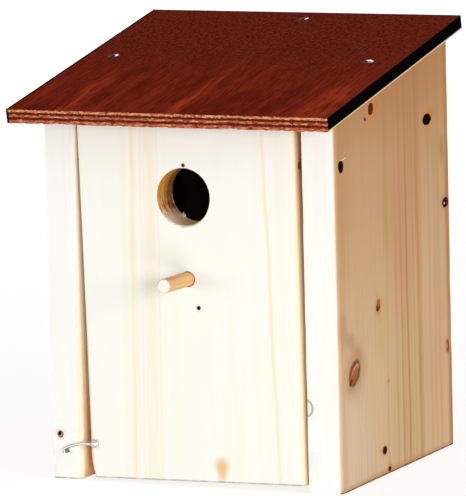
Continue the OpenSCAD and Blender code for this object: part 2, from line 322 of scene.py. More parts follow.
def wear_corner(bm, edge_x, inwards, foot, height, depth):
    """Wears away the lower corner at one side of a board. inwards is the sign of X into the board."""
    for v in bm.verts:
        from_edge = (v.co.x - edge_x) * inwards
        if from_edge < CORNER_REACH and v.co.z < foot + height and v.co.y < FRONT_Y + CORNER_BACK:
            share = 1 - (v.co.z - foot) / height
            v.co.x += inwards * depth * share * share * (1 - max(0.0, from_edge) / CORNER_REACH)


def line_hole(bm, axis, centre, radius, steepest):
    """Gives the wall of a round hole along one axis the second material of its board."""
    for f in bm.faces:
        away = f.calc_center_median() - centre
        away[axis] = 0
        if away.length < radius and abs(f.normal[axis]) < steepest:
            f.material_index = 1


def splinter(bm, root, along, up, reach, width, curl):
    """Adds a torn fibre: a flat tapering sliver that curls as it leaves the wood."""
    along, up = along.normalized(), up.normalized()
    flatness, taper, steps = 0.4, 0.78, 5
    ring = bmesh.ops.create_circle(bm, cap_ends=True, segments=6, radius=width / 2)["verts"]
    lie = Matrix((along.cross(up), up * flatness, along)).transposed().to_4x4()
    bmesh.ops.transform(bm, matrix=Matrix.Translation(root) @ lie, verts=ring)
    face = ring[0].link_faces[0]
    for i in range(steps):
        grown = bmesh.ops.extrude_face_region(bm, geom=[face])
        if i:
            bmesh.ops.delete(bm, geom=[face], context="FACES_ONLY")
        face = next(g for g in grown["geom"] if isinstance(g, bmesh.types.BMFace))
        turn = curl * (i + 1) / steps
        step = (along * math.cos(turn) + up * math.sin(turn)) * reach / steps
        bmesh.ops.translate(bm, vec=step, verts=face.verts)
        middle = face.calc_center_median()
        bmesh.ops.scale(bm, vec=Vector(EVEN) * taper, space=Matrix.Translation(-middle), verts=face.verts)
    bmesh.ops.recalc_face_normals(bm, faces=bm.faces[:])


def new_object(name, data):
    """Puts new data into the scene as an object."""
    made = bpy.data.objects.new(name, data)
    bpy.context.scene.collection.objects.link(made)
    return made


def object_from(bm, name, materials):
    """Turns a bmesh into an object and frees it."""
    mesh = bpy.data.meshes.new(name)
    bm.to_mesh(mesh)
    bm.free()
    for material in materials:
        mesh.materials.append(material)
    return new_object(name, mesh)


def piece_from(bm, name, node, body, materials):
    """Makes a bmesh a piece on a body, which stands for a CAD node if one is given."""
    bm.normal_update()
    for f in bm.faces:
        f.smooth = f.calc_area() < SMALL_FACE
    for e in bm.edges:
        if e.is_manifold:
            e.smooth = e.calc_face_angle() < CREASE
    piece = object_from(bm, name, materials)
    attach(piece, body)
    if node:
        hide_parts(node)


# Shader nodes


def wrap(socket):
    return (Place if socket.type == "VECTOR" else Value)(socket)


def plug(socket, value):
    """Links a value to a socket, or sets the socket to a plain one."""
    if isinstance(value, Value):
        socket.id_data.links.new(value.socket, socket)
    else:
        socket.default_value = value


def add(tree, kind, inputs=None, **settings):
    """Adds a node, makes its settings and fills its inputs."""
    made = tree.nodes.new(kind)
    for key, value in settings.items():
        setattr(made, key, value)
    for key, value in (inputs or {}).items():
        plug(made.inputs[key], value)
    return made


def give(tree, kind, output, inputs=None, **settings):
    """Adds a node and gives one of its outputs."""
    return wrap(add(tree, kind, inputs, **settings).outputs[output])


class Value:
    """A number or a colour that a shader node gives. Its signs and methods add further nodes."""

    def __init__(self, socket):
        self.socket = socket
        self.tree = socket.id_data

    def reckon(self, operation, other=0.0):
        return give(self.tree, "ShaderNodeMath", 0, {0: self, 1: other}, operation=operation)

    def __add__(self, other):
        return self.reckon("ADD", other)

    def __sub__(self, other):
        return self.reckon("SUBTRACT", other)

    def __mul__(self, other):
        return self.reckon("MULTIPLY", other)

    def __truediv__(self, other):
        return self.reckon("DIVIDE", other)

    def rise(self, low, high, to_low=0.0, to_high=1.0):
        """A smooth step between two limits."""
        inputs = {"Value": self, "From Min": low, "From Max": high, "To Min": to_low, "To Max": to_high}
        return give(self.tree, "ShaderNodeMapRange", "Result", inputs, interpolation_type="SMOOTHSTEP")

    def mix(self, first, second):
        """The first colour where this is 0, the second where it is 1."""
        return give(self.tree, "ShaderNodeMix", 2, {0: self, 6: first, 7: second}, data_type="RGBA")


class Place(Value):
    """A place or a direction that a shader node gives."""

    def reckon(self, operation, other=(0, 0, 0), output="Vector"):
        return give(self.tree, "ShaderNodeVectorMath", output, {0: self, 1: other}, operation=operation)

    def dot(self, other):
        return self.reckon("DOT_PRODUCT", other, "Value")

    def length(self):
        return self.reckon("LENGTH", output="Value")

    def scaled(self, share):
        inputs = {"Vector": self, "Scale": share}
        return give(self.tree, "ShaderNodeVectorMath", "Vector", inputs, operation="SCALE")

    def split(self):
        return [wrap(part) for part in add(self.tree, "ShaderNodeSeparateXYZ", {"Vector": self}).outputs]

    def grain(self, stretch, scale, detail=3.0, rough=0.55):
        """Noise stretched by three factors."""
        look = {"Scale": scale, "Detail": detail, "Roughness": rough}
        return give(self.tree, "ShaderNodeTexNoise", "Fac", {"Vector": self * stretch, **look})


# Shared node groups. Each is made from a function, whose own names its sockets take.


def growth_rings(vector: Place, pith: Place, spacing: Value):
    """Growth rings round a pith line that runs along Z, in metres."""
    shifted = vector - pith
    flat = shifted * (1, 1, 0)
    sway = shifted.grain((1, 1, 0.13), 22, 2) - 0.5
    years = (flat.length() + sway * 0.012) / spacing + flat.grain((1, 1, 0), 60, 1) * 2.2
    part = years.reckon("FRACT")
    late = part.rise(0.45, 0.9) * part.rise(0.99, 0.93)
    strength = flat.grain((1, 1, 0), 95, 2).rise(0.38, 0.66, 0.25, 1.0)
    return {"Rings": late * strength, "Bands": shifted.grain((1, 1, 0.06), 75, 2)}


def wood_fibre(vector: Place):
    """Fine fibres and short pores along Z."""
    pores = vector.grain((1, 1, 0.07), 900, 1)
    return {"Fibre": vector.grain((1, 1, 0.025), 1500, 2), "Pores": pores.rise(0.62, 0.76)}


def from_middle(across, along):
    """Distance from the middle of an oval whose rim is at 1."""
    return (across.reckon("POWER", 2.0) + along.reckon("POWER", 2.0)).reckon("SQRT")


def knot(
    vector: Place, centre: Place, across: Place, along: Place,
    half_width: Value, half_height: Value, bend: Value,
):
    """A knot that runs through a board, and the grain that bends round it."""
    offset = vector - centre
    aside = offset.dot(across) / half_width
    above = offset.dot(along) / half_height
    ragged = (vector.grain(EVEN, 700, 2) - 0.5) * 0.32
    reach = from_middle(aside, above) + ragged
    tall = from_middle(aside, above * 0.3)
    pull = tall.rise(2.6, 0.3) * (bend * 0.62)
    return {
        "Shift": across.scaled((aside * half_width) * (pull * -1.0)),
        "Core": reach.rise(1.08, 0.88),
        "Rim": reach.rise(0.72, 0.98) * reach.rise(1.24, 1.02),
        "Halo": reach.rise(2.9, 0.9),
        "Flare": tall.rise(1.7, 0.5),
    }


def roof_streak(vector: Place, place: Value, width: Value, fades_at: Value):
    """A soft streak along the roof's slope, at one distance across it."""
    x, y, _ = vector.split()
    sway = (vector.grain((0.4, 1, 0), 26, 2) - 0.5) * 0.008
    near = (x - place + sway).reckon("ABSOLUTE") / width
    ragged = vector.grain((1, 0.1, 0), 420, 3).rise(0.34, 0.62)
    return {"Streak": near.rise(1.5, 0.0) * (y / fades_at).rise(1.0, 0.1) * ragged}


def grain_line(vector: Place, across: Place, place: Value, lean: Value, half_width: Value):
    """One drawn-out grain line that runs up a board with a slight sway."""
    height = vector.split()[2]
    away = vector.dot(across) - place - height * lean
    seed = give(vector.tree, "ShaderNodeCombineXYZ", 0, {"X": place * 40.0, "Y": height})
    sway = (seed.grain(EVEN, 14, 1) - 0.5) * 0.0026
    near = (away + sway).reckon("ABSOLUTE") / half_width
    patchy = vector.grain((1, 1, 0.08), 260, 2).rise(0.25, 0.65, 0.55, 1.0)
    return {"Line": near.rise(1.5, 0.1) * patchy}


SOCKET_KINDS = {Value: "NodeSocketFloat", Place: "NodeSocketVector"}
groups = {}


def label(key):
    return key.replace("_", " ").capitalize()


def build_group(maker):
    """Makes a node group from one of the functions above."""
    tree = bpy.data.node_groups.new(label(maker.__name__), "ShaderNodeTree")
    for key, kind in maker.__annotations__.items():
        tree.interface.new_socket(label(key), in_out="INPUT", socket_type=SOCKET_KINDS[kind])
    given = tree.nodes.new("NodeGroupInput").outputs
    made = maker(*(wrap(given[label(key)]) for key in maker.__annotations__))
    for name, value in made.items():
        tree.interface.new_socket(name, in_out="OUTPUT", socket_type=SOCKET_KINDS[type(value)])
    out = tree.nodes.new("NodeGroupOutput")
    for name, value in made.items():
        plug(out.inputs[name], value)
    return tree


def use(maker, vector, **inputs):
    """Places a shared node group and gives its outputs. It is built the first time it is asked for."""
    if maker not in groups:
        groups[maker] = build_group(maker)
    inputs = {label(key): value for key, value in dict(vector=vector, **inputs).items()}
    made = add(vector.tree, "ShaderNodeGroup", inputs, node_tree=groups[maker])
    return {socket.name: wrap(socket) for socket in made.outputs}


def new_material(name):
    """A new material, with the place and the outward direction of each point on its surface."""
    material = bpy.data.materials.new(name)
    material.use_nodes = True
    given = add(material.node_tree, "ShaderNodeTexCoord").outputs
    return material, wrap(given["Object"]), wrap(given["Normal"])


def finish_material(material, tone, roughness, height, bump, metallic=0.0, specular=0.0):
    """Fills the material's own shader. bump is the distance that the height is in, and its strength."""
    distance, strength = bump
    inputs = {"Height": height, "Distance": distance, "Strength": strength}
    normal = give(material.node_tree, "ShaderNodeBump", "Normal", inputs)
    shader = material.node_tree.nodes["Principled BSDF"].inputs
    plug(shader["Base Color"], tone)
    plug(shader["Roughness"], roughness)
    plug(shader["Normal"], normal)
    plug(shader["Metallic"], metallic)
    plug(shader["Specular IOR Level"], specular)
    return material


# Timber. A knot is (place across, height, half width, half height, tilt, kind), in millimetres and degrees.
SIDE_KNOTS = [
    (15.5, 82.5, 3.6, 2.4, 20, "shade"),
    (24.5, 73.0, 3.4, 3.4, -20, "flare"),
    (14.2, 56.6, 2.6, 1.8, 0, "flare"),
    (20.2, 64.0, 8.2, 6.0, -34, "bark"),
    (19.0, 63.1, 7.0, 4.7, -34, "red"),
    (20.9, 65.0, 5.8, 2.5, -34, "sliver"),
    (20.0, 63.7, 5.4, 1.9, -34, "flesh"),
    (14.6, 59.4, 2.6, 1.3, -34, "crack"),
    (55.2, 95.4, 2.9, 2.2, -20, "small dark"),
    (55.8, 98.2, 2.2, 1.3, -10, "stain"),
    (135.0, 193.6, 4.2, 1.9, -10, "amber"),
    (131.2, 190.9, 5.6, 2.9, 0, "dark"),
    (156.3, 60.2, 2.2, 1.3, -10, "stain"),
    (156.4, 55.6, 2.3, 1.3, 10, "stain"),
    (67.2, 2.5, 2.1, 1.4, 0, "small dark"),
    (67.6, 52.0, 1.7, 1.4, 0, "faint"),
    (56.4, 205.2, 1.9, 6.4, 38, "streaky"),
    (50.2, 206.2, 3.6, 3.2, -30, "small red"),
    (42.0, 201.4, 1.2, 1.0, 0, "small dark"),
    (156.6, 140.5, 4.2, 2.7, 0, "ring"),
    (60.6, 14.0, 3.2, 2.3, 0, "bruise"),
]
DOOR_KNOTS = [
    (15.6, 12.3, 2.3, 2.2, 0, "sound"),
    (15.5, 8.3, 1.5, 2.9, 0, "sound"),
    (-3.5, 178.5, 1.05, 1.05, 0, "faint speck"),
    (3.8, 99.7, 1.1, 1.1, 0, "speck"),
]
LEFT_EDGE_KNOTS = [(-83.1, 25.0, 1.6, 1.8, 0, "pin"), (-83.5, 25.5, 1.0, 1.1, 0, "speck")]
RIGHT_EDGE_KNOTS = [(66.9, 46.8, 3.7, 4.5, 0, "outline")]

# For each kind: the colours of core, rim and halo, how strongly core, rim, halo and flare show,
# and how far it bends the grain
KNOT_KINDS = {
    "bark": ("rim", "rim", "olive", 0.75, 0.4, 0.4, 0.1, 1.0),
    "red": ("red", "rim", "red", 1.0, 0.3, 0.0, 0.0, 0.0),
    "sliver": ("pale", "pale", "red", 0.7, 0.0, 0.0, 0.0, 0.0),
    "flesh": ("red", "rim", "red", 0.95, 0.25, 0.0, 0.0, 0.0),
    "crack": ("dark", "rim", "red", 0.6, 0.3, 0.0, 0.0, 0.0),
    "streaky": ("amber", "halo", "halo", 0.8, 0.0, 0.35, 0.0, 0.0),
    "flare": ("halo", "halo", "halo", 0.25, 0.0, 0.4, 0.0, 0.0),
    "shade": ("olive", "olive", "olive", 0.1, 0.0, 0.4, 0.0, 0.5),
    "amber": ("amber", "amber", "amber", 0.65, 0.0, 0.35, 0.0, 0.0),
    "small red": ("rim", "rim", "halo", 3.0, 0.3, 0.4, 0.2, 1.0),
    "dark": ("dark", "dark", "halo", 3.0, 1.0, 0.3, 0.15, 1.0),
    "small dark": ("rim", "dark", "amber", 2.0, 0.3, 0.45, 0.25, 1.0),
    "speck": ("dark", "rim", "olive", 1.6, 0.4, 0.2, 0.0, 0.3),
    "faint speck": ("rim", "rim", "halo", 1.1, 0.3, 0.1, 0.0, 0.3),
    "stain": ("red", "rim", "halo", 0.9, 0.3, 0.45, 0.1, 0.3),
    "faint": ("red", "red", "halo", 0.4, 0.0, 0.25, 0.0, 0.3),
    "ring": ("rim", "dark", "red", 1.6, 0.6, 0.2, 0.0, 0.0),
    "bruise": ("dark", "rim", "halo", 0.85, 0.5, 0.2, 0.0, 0.0),
    "sound": ("sound", "sound", "sound", 0.3, 0.0, 0.62, 0.0, 0.5),
    "pin": ("amber", "rim", "halo", 0.95, 1.0, 0.2, 0.0, 0.3),
    "outline": ("halo", "olive", "halo", 0.05, 0.75, 0.06, 0.0, 0.0),
}

# A grain line is (place at the foot, place at the top, half width, strength), in millimetres
SIDE_LINES = [
    (67.0, 69.5, 1.6, 0.3), (81.0, 81.8, 1.3, 0.35), (89.8, 88.4, 1.8, 0.68), (93.5, 92.5, 0.8, 0.3),
    (98.6, 96.8, 1.9, 0.8), (103.0, 102.0, 0.9, 0.3), (107.6, 107.0, 1.2, 0.38), (115.6, 113.4, 3.0, 0.72),
    (119.0, 118.2, 0.8, 0.3), (131.5, 131.5, 1.8, 0.2), (146.0, 146.0, 2.0, 0.2), (159.8, 159.8, 4.0, 1.0),
    (158.0, 158.4, 0.7, 0.5),
]
DOOR_LINES = [
    (-42.0, -39.5, 2.5, 0.2), (-37.2, -34.0, 1.5, 0.7), (-34.4, -31.8, 0.7, 0.25),
    (-31.0, -29.0, 0.9, 0.4), (-25.0, -23.5, 4.4, 0.44), (-28.5, -26.8, 0.6, 0.25),
    (-20.4, -19.4, 0.4, 0.45), (50.6, 42.6, 1.0, 0.85), (54.5, 55.5, 4.5, 0.13), (-67, -66, 1.0, 0.2),
]

# A soft patch of colour is (place across, height, half width, half height, tilt, colour, strength)
# The brown patches high on the wall are painted shade under the roof, and the one along the foot is painted
# shade where the wall meets the floor
SIDE_PATCHES = [
    (96, 132, 11, 24, 0, "rosy", 0.75), (135, 62, 13, 30, 0, "rosy", 0.35),
    (30, 24, 12, 10, 0, "rosy", 0.35), (67, 152, 2.2, 14, -2, "yellow", 0.7),
    (101, 48, 11, 24, 0, "yellow", 0.6), (62, 84, 6, 10, 0, "yellow", 0.45),
    (143, 172, 4, 6, 0, "yellow", 0.5), (12, 22, 17, 18, 0, "pale", 0.85),
    (135, 120, 10, 20, 0, "pale", 0.25), (20, 245, 60, 27, 0, "brown", 0.6),
    (110, 245, 50, 30, 0, "brown", 0.75), (2, 190, 8, 40, 0, "brown", 0.35),
    (80, 232, 95, 62, 0, "brown", 0.5), (70, -2, 55, 2.4, 0, "brown", 0.8),
    (152.5, 172, 1.5, 4, 0, "brown", 0.7), (5, 90, 3, 5, 0, "brown", 0.4),
]

# A streak of the roof is (place across, width, where it fades out, strength), in millimetres
ROOF_STREAKS = [
    (-62.5, 5, 62, 0.8), (-44, 4, 50, 0.3), (3.5, 4.5, 84, 0.9), (79, 5, 66, 0.75), (87, 7, 60, 0.8),
    (-24, 3, 50, 0.25), (-88, 3, 50, 0.4),
]

# Colours through the thickness of the plywood, from below
PLIES = [
    (0.23, "middle"), (0.30, "dark"), (0.42, "dark"), (0.48, "middle"), (0.59, "middle"), (0.65, "dark"),
    (0.78, "dark"), (0.85, "light"), (0.94, "light"), (1.0, "dark"),
]

# Bare spots on each roof screw's head: (place across, place along, half width, half depth), in millimetres
ROOF_SCREW_SPOTS = {
    "left": [(1.0, 0.3, 0.9, 2.2)],
    "right": [(-0.6, 1.4, 1.9, 1.5), (1.0, -1.0, 1.9, 1.5)],
    "back": [(1.1, 0.2, 1.0, 2.4)],
}

# A torn fibre is (place, height, reach, width), in millimetres. The place is along X or back from the front.
ENTRY_FIBRES = [(-13.2, 147.6, 2.8, 2.3), (-12.2, 147.0, 2.4, 1.9), (-19.0, 154.8, 1.6, 1.0)]
PIVOT_FIBRES = [(6.4, 183.0, 5.6, 1.3), (9.4, 183.4, 4.6, 1.3)]


def oval(centre, across, along, half_width, half_height):
    """The inputs of the knot group for an oval, whose half sizes are in millimetres."""
    return dict(
        centre=centre, across=across, along=along, half_width=half_width * MM, half_height=half_height * MM
    )


def knots_on(flat, knots, front_y=0.0):
    """Where each knot lies, on a face that runs along flat and up, and what kind it is."""
    found = []
    for across, height, half_width, half_height, tilt, kind in knots:
        turn = math.radians(tilt)
        side = flat * math.cos(turn) - UP * math.sin(turn)
        along = flat * math.sin(turn) + UP * math.cos(turn)
        centre = flat * across * MM + Vector((0, front_y, height * MM))
        found.append((oval(centre, side, along, half_width, half_height), kind))
    return found


def patches_on(flat, patches, front_y=0.0):
    """Where each soft patch of colour lies, its colour and its strength."""
    placed = knots_on(flat, [patch[:6] for patch in patches], front_y)
    return [(*where, patch[6]) for where, patch in zip(placed, patches)]


def timber(name, tones, pith, inward, knots=(), facing_knots=(), lines=(), facing_lines=(), patches=(),
           turn=(0, 0, 0), spacing_share=1.0, contrast=1.0, browner=None, gap_sides=False, soiled=None):
    """Pine. Its grain runs up, or along once turned.

    tones are its wide face, the late wood there, its lit edge, the late wood there and its sawn end. On the
    side walls the wide face and the lit edge are a darker and a lighter copy of one pine: painted shade and
    painted light.
    knots, lines and patches show on faces across X, facing_knots and facing_lines on faces across Y.
    Faces that look inward are unplaned, and partly darkened as painted shade; near the front they are the
    gaps' sides, which darken inwards as painted shade. gap_sides is for a board whose faces across X are in
    the gaps.
    browner is two heights, and the share of the gaps' painted shade that their depth has at each.
    The last argument draws a line of painted shade along a foot: a point of the foot, the way up from it,
    the axis of its faces and the shade's colour.
    """
    props = bpy.context.scene.nest_box_timber
    knot_props = bpy.context.scene.nest_box_knots
    material, place, normal = new_material(name)
    facing, outward = normal.reckon("ABSOLUTE").split(), normal.split()
    side_mask, front_mask = outward[0].rise(0.5, 0.75), outward[1].rise(-0.5, -0.75)
    vector, marks = place, []
    for mask, found in ((side_mask, knots), (front_mask, facing_knots)):
        for where, kind in found:
            *looks, bend = KNOT_KINDS[kind]
            made = use(knot, place, **where, bend=bend)
            if bend:
                vector = vector + made["Shift"]
            marks.append((made, mask, looks))
    upright = give(place.tree, "ShaderNodeMapping", "Vector", {"Vector": vector, "Rotation": turn})
    ring = use(growth_rings, upright, pith=pith, spacing=props.ring_spacing * spacing_share)
    fibre = use(wood_fibre, upright)
    wide, wide_late, planed, planed_late, sawn = tones
    # Painted light and shade: faces that look to the front, up and down take the lighter edge tone, side
    # faces and back edges the darker face tone
    across = facing[0].rise(0.12, 0.7).reckon("MAXIMUM", outward[1].rise(0.1, 0.6))
    tone = across.mix(planed, wide)
    late = across.mix(planed_late, wide_late)
    for where, shade, share in patches:
        halo = use(knot, place, **where, bend=0.0)["Halo"]
        tone = (halo * across * share).mix(tone, getattr(props, shade))
    tone = (ring["Rings"] * (0.34 * contrast)).mix(tone, late)
    tone = ring["Bands"].rise(0.46, 0.8, 0.0, 0.5 * contrast).mix(tone, late)
    tone = fibre["Fibre"].rise(0.5, 0.8, 0.0, 0.3 * contrast).mix(tone, late)
    for mask, flat, start, found in (
        (side_mask, BACK, FRONT_Y, lines), (front_mask, RIGHT, 0.0, facing_lines),
    ):
        for foot, top, half_width, strength in found:
            drawn = use(
                grain_line, vector, across=flat, place=start + foot * MM,
                lean=(top - foot) * MM / RIGHT_WALL[1].z, half_width=half_width * MM,
            )
            tone = (drawn["Line"] * mask * strength).mix(tone, late)
    tone = facing[2].rise(0.6, 0.85, 0.0, 0.85).mix(tone, sawn)
    _, depth, level = place.split()
    # Painted shade: the gaps' sides darken from the mouth inwards, more or less with height as browner gives
    brown = depth.rise(FRONT_Y + 2.2 * MM, FRONT_Y + 8.5 * MM)
    if browner:
        brown = brown * level.rise(*browner)
    gap = brown.mix(props.gap_side, props.gap_deep)
    # Partly painted shade: further in, inward faces take the darkened inside colour with dark fibres
    rough_face = fibre["Fibre"].rise(0.35, 0.7, 0.0, 0.4).mix(props.inside, props.bore_dark)
    # Painted light and shade: the gaps' colours lighten towards the top of the inward faces
    fresh = level.rise(40 * MM, 140 * MM, 0.0, 0.65).mix(gap, planed)
    inner = depth.rise(FRONT_Y + 10 * MM, FRONT_Y + 24 * MM).mix(fresh, rough_face)
    tone = normal.dot(inward).rise(0.05, 0.45).mix(tone, inner)
    # The board's own faces in the gaps take the gaps' painted shade
    if gap_sides:
        tone = facing[0].rise(0.05, 0.45).mix(tone, gap)
    for made, mask, (core, rim, halo, core_share, rim_share, halo_share, flare_share) in marks:
        for output, share, shade in (
            ("Flare", flare_share, halo), ("Halo", halo_share, halo), ("Core", core_share, core),
            ("Rim", rim_share, rim),
        ):
            if share:
                tone = (made[output] * mask * share).mix(tone, getattr(knot_props, shade))
    # Painted shade: a thin, broken line along the foot, where the board meets the floor
    if soiled:
        point, up, axis, dirt = soiled
        patchy = place.grain((1, 1, 0), 160, 3).rise(0.36, 0.6, 0.5, 0.9)
        line = (place - point).dot(up).rise(1.0 * MM, 0.5 * MM) * patchy
        tone = (line * facing[axis].rise(0.2, 0.5)).mix(tone, dirt)
    height = fibre["Fibre"] * 0.6 + ring["Rings"] * 0.35 - fibre["Pores"] * 0.3
    roughness = fibre["Fibre"].rise(0.3, 0.7, 0.6, 0.76) + ring["Rings"] * -0.08
    return finish_material(material, tone, roughness, height, (0.12 * MM, 0.5))


def bored_wood(hole):
    """Wall of the entry hole: torn layers, with painted shade darkening it towards the inside and painted
    light making its lowest part pale.
    """
    props = bpy.context.scene.nest_box_timber
    material, place, _ = new_material("Bored pine")
    _, depth, level = place.split()
    layers = place.grain((0.5, 1, 0.14), 560, 4, 0.7)
    spots = place.grain(EVEN, 520, 2)
    low_half = level.rise(hole.z + 2 * MM, hole.z - 9 * MM)
    foot = level.rise(hole.z - 8.5 * MM, hole.z - 13 * MM)
    streaks = layers.rise(0.48, 0.6) * low_half.rise(0.0, 1.0, 0.35, 0.9)
    pale_lines = place.grain((0.5, 1, 0.14), 900, 3).rise(0.5, 0.64, 0.0, 0.95)
    # Painted shade: the wall darkens towards the inside
    tone = depth.rise(FRONT_Y + 7 * MM, FRONT_Y + 16 * MM, 0.0, 0.7).mix(props.bore, props.bore_dark)
    tone = streaks.mix(tone, props.bore_dark)
    # Painted light: the lower half takes pale lines and the foot the pale colour, as light falls on them
    tone = (pale_lines * low_half).mix(tone, props.bore_pale)
    tone = (foot * layers.rise(0.66, 0.5, 0.75, 1.0)).mix(tone, props.bore_pale)
    tone = spots.rise(0.6, 0.75, 0.0, 0.3).mix(tone, props.end_grain)
    return finish_material(material, tone, spots.rise(0.3, 0.7, 0.7, 0.9), layers, (0.4 * MM, 0.7))


def sunk_wood():
    """Dark rough wood inside the holes of the sunk screws and nails: painted shade, darker than the pine for
    the shade in the holes.
    """
    props = bpy.context.scene.nest_box_timber
    material, place, _ = new_material("Sunk hole")
    torn = place.grain((1, 1, 0.3), 900, 3)
    tone = torn.rise(0.5, 0.75, 0.0, 0.5).mix(props.sunk, props.bore_dark)
    return finish_material(material, tone, torn.rise(0.3, 0.7, 0.8, 0.95), torn, (0.2 * MM, 0.7))


def torn_fibre():
    """Pale raw fibres, coloured with the lighter copy of the pine that stands for painted light."""
    props = bpy.context.scene.nest_box_timber
    material, place, _ = new_material("Torn fibre")
    lines = place.grain(EVEN, 1600, 2)
    tone = lines.rise(0.35, 0.7).mix(props.planed, props.front_late)
    return finish_material(material, tone, lines.rise(0.3, 0.7, 0.7, 0.9), lines, (0.1 * MM, 0.6))


def stained_plywood(slope, foot, thickness):
    """Stained plywood with bare plies at its front and back edges and painted side edges, with a painted
    highlight along their foot.
    """
    props = bpy.context.scene.nest_box_roof
    material, place, normal = new_material("Stained plywood")
    lay_flat = Matrix.Rotation(-slope, 3, "X")
    laid = {"Vector": place, "Location": -(lay_flat @ foot), "Rotation": (-slope, 0, 0)}
    flat = give(place.tree, "ShaderNodeMapping", "Vector", laid)
    across, backwards, level = flat.split()
    facing_side, facing_edge, _ = normal.reckon("ABSOLUTE").split()
    fine = flat.grain((1, 0.06, 1), 1300, 3, 0.6)
    broad = flat.grain((1, 0.1, 1), 130, 3)
    cloudy = flat.grain((1, 0.6, 1), 55, 3)
    mottle = flat.grain((1, 0.55, 1), 620, 4, 0.75)
    tone = fine.rise(0.38, 0.66, 0.15, 0.85).mix(props.stain, props.stain_dark)
    tone = broad.rise(0.52, 0.74, 0.0, 0.26).mix(tone, props.streak)
    tone = cloudy.rise(0.45, 0.7, 0.0, 0.45).mix(tone, props.stain_dark)
    mottled = mottle.rise(0.42, 0.6).mix(props.stain_back, props.stain_dark)
    tone = backwards.rise(10 * MM, 130 * MM, 0.1, 0.85).mix(tone, mottled)
    for place_across, width, fades_at, share in ROOF_STREAKS:
        made = use(roof_streak, flat, place=place_across * MM, width=width * MM, fades_at=fades_at * MM)
        tone = (made["Streak"] * share).mix(tone, props.streak)
    wander = (flat.grain((1, 0, 0), 60, 3) - 0.5) * 0.14
    crumbs = (flat.grain(EVEN, 620, 3, 0.7) - 0.5) * 0.34
    ramp = add(place.tree, "ShaderNodeValToRGB", {"Fac": level / thickness + (wander + crumbs)})
    stops = ramp.color_ramp.elements
    while len(stops) > 1:
        stops.remove(stops[-1])
    stops[0].position = 0.0
    stops[0].color = props.ply_middle
    for position, shade in PLIES:
        stops.new(position).color = getattr(props, "ply_" + shade)
    plies = wrap(ramp.outputs["Color"])
    flecks = flat.grain((0.4, 1, 1), 760, 3, 0.7)
    torn = flat.grain((0.3, 1, 1), 900, 3, 0.6).rise(0.46, 0.62, 0.0, 0.85)
    edge = flecks.rise(0.5, 0.62, 0.0, 0.8).mix(plies, props.ply_dark)
    edge = (torn * plies.rise(0.06, 0.22)).mix(edge, props.ply_fleck)
    tone = facing_edge.rise(0.55, 0.75).mix(tone, edge)
    # Painted highlight: a thin pale line at the foot of the side edges, where the lower edge catches the
    # light
    side = level.rise(1.0 * MM, 0.6 * MM, 0.0, 0.9).mix(props.side, props.side_foot)
    tone = facing_side.rise(0.5, 0.75).mix(tone, side)
    brushed = across + cloudy * (1.6 * MM)
    tone = brushed.rise(ROOF[0].x + 2.6 * MM, ROOF[0].x + 1.6 * MM).mix(tone, props.side)
    roughness = fine.rise(0.3, 0.7, 0.5, 0.7)
    return finish_material(material, tone, roughness, fine + flecks * 0.5, (0.2 * MM, 0.8))


def dowel_wood():
    """Planed dowel. Its end faces are paler than its side: painted light."""
    props = bpy.context.scene.nest_box_dowel
    material, place, normal = new_material("Dowel")
    facing_end = normal.reckon("ABSOLUTE").split()[1]
    lines = place.grain((1, 0.05, 1), 520, 3)
    fine = place.grain((1, 0.04, 1), 2200, 2)
    pores = place.grain((1, 0, 1), 1500, 2)
    tone = lines.rise(0.5, 0.7, 0.0, 0.75).mix(props.side, props.late)
    tone = fine.rise(0.5, 0.75, 0.0, 0.3).mix(tone, props.late)
    end = pores.rise(0.5, 0.75, 0.0, 0.35).mix(props.end, props.late)
    # Painted light: the end faces take the pale end colour
    tone = facing_end.rise(0.7, 0.92).mix(tone, end)
    roughness = lines.rise(0.3, 0.7, 0.5, 0.66)
    return finish_material(material, tone, roughness, fine, (0.1 * MM, 0.5), 0.0, 0.03)


def plated_metal(name, tone, spot, low, high):
    """Bright or dull plated metal with spots, and its roughness from low to high."""
    material, place, _ = new_material(name)
    patches = place.grain(EVEN, 900, 3)
    tone = patches.rise(0.52, 0.72, 0.0, 0.6).mix(tone, spot)
    roughness = patches.rise(0.35, 0.7, low, high)
    return finish_material(material, tone, roughness, patches, (0.02 * MM, 0.3), 1.0, 0.5)


def rusty_metal(name, rust, bare_tone, bare_metallic, spot=None):
    """Rusted metal with bare or lighter patches, or with one bare oval spot."""
    material, place, _ = new_material(name)
    patches = place.grain(EVEN, 1100, 4, 0.65)
    bare = use(knot, place, **spot, bend=0.0)["Core"] if spot else patches.rise(0.52, 0.62)
    tone = bare.mix(rust, bare_tone)
    roughness = bare.rise(0.0, 1.0, 0.9, 0.6)
    metallic = bare.rise(0.0, 1.0, 0.0, bare_metallic)
    return finish_material(material, tone, roughness, patches, (0.08 * MM, 0.7), metallic)


def stained_screw(node, spots):
    """A screw whose head took the roof's stain and shows bare zinc in a few spots."""
    props = bpy.context.scene.nest_box_fittings
    material, place, _ = new_material("Stained " + node.replace("_", " "))
    low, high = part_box(node)
    middle = Vector(((low.x + high.x) / 2, (low.y + high.y) / 2, high.z))
    bare = None
    for x, y, half_width, half_depth in spots:
        where = oval(middle + Vector((x, y, 0)) * MM, RIGHT, BACK, half_width, half_depth)
        core = use(knot, place, **where, bend=0.0)["Core"]
        bare = bare.reckon("MAXIMUM", core) if bare else core
    patches = place.grain(EVEN, 900, 3)
    zinc = patches.rise(0.5, 0.75, 0.0, 0.5).mix(props.zinc, props.bright)
    tone = bare.mix(props.stained, zinc)
    roughness = bare.rise(0.0, 1.0, 0.75, 0.3)
    metallic = bare.rise(0.0, 1.0, 0.0, 0.85)
    return finish_material(material, tone, roughness, patches, (0.03 * MM, 0.4), metallic, 0.1)


# Operators


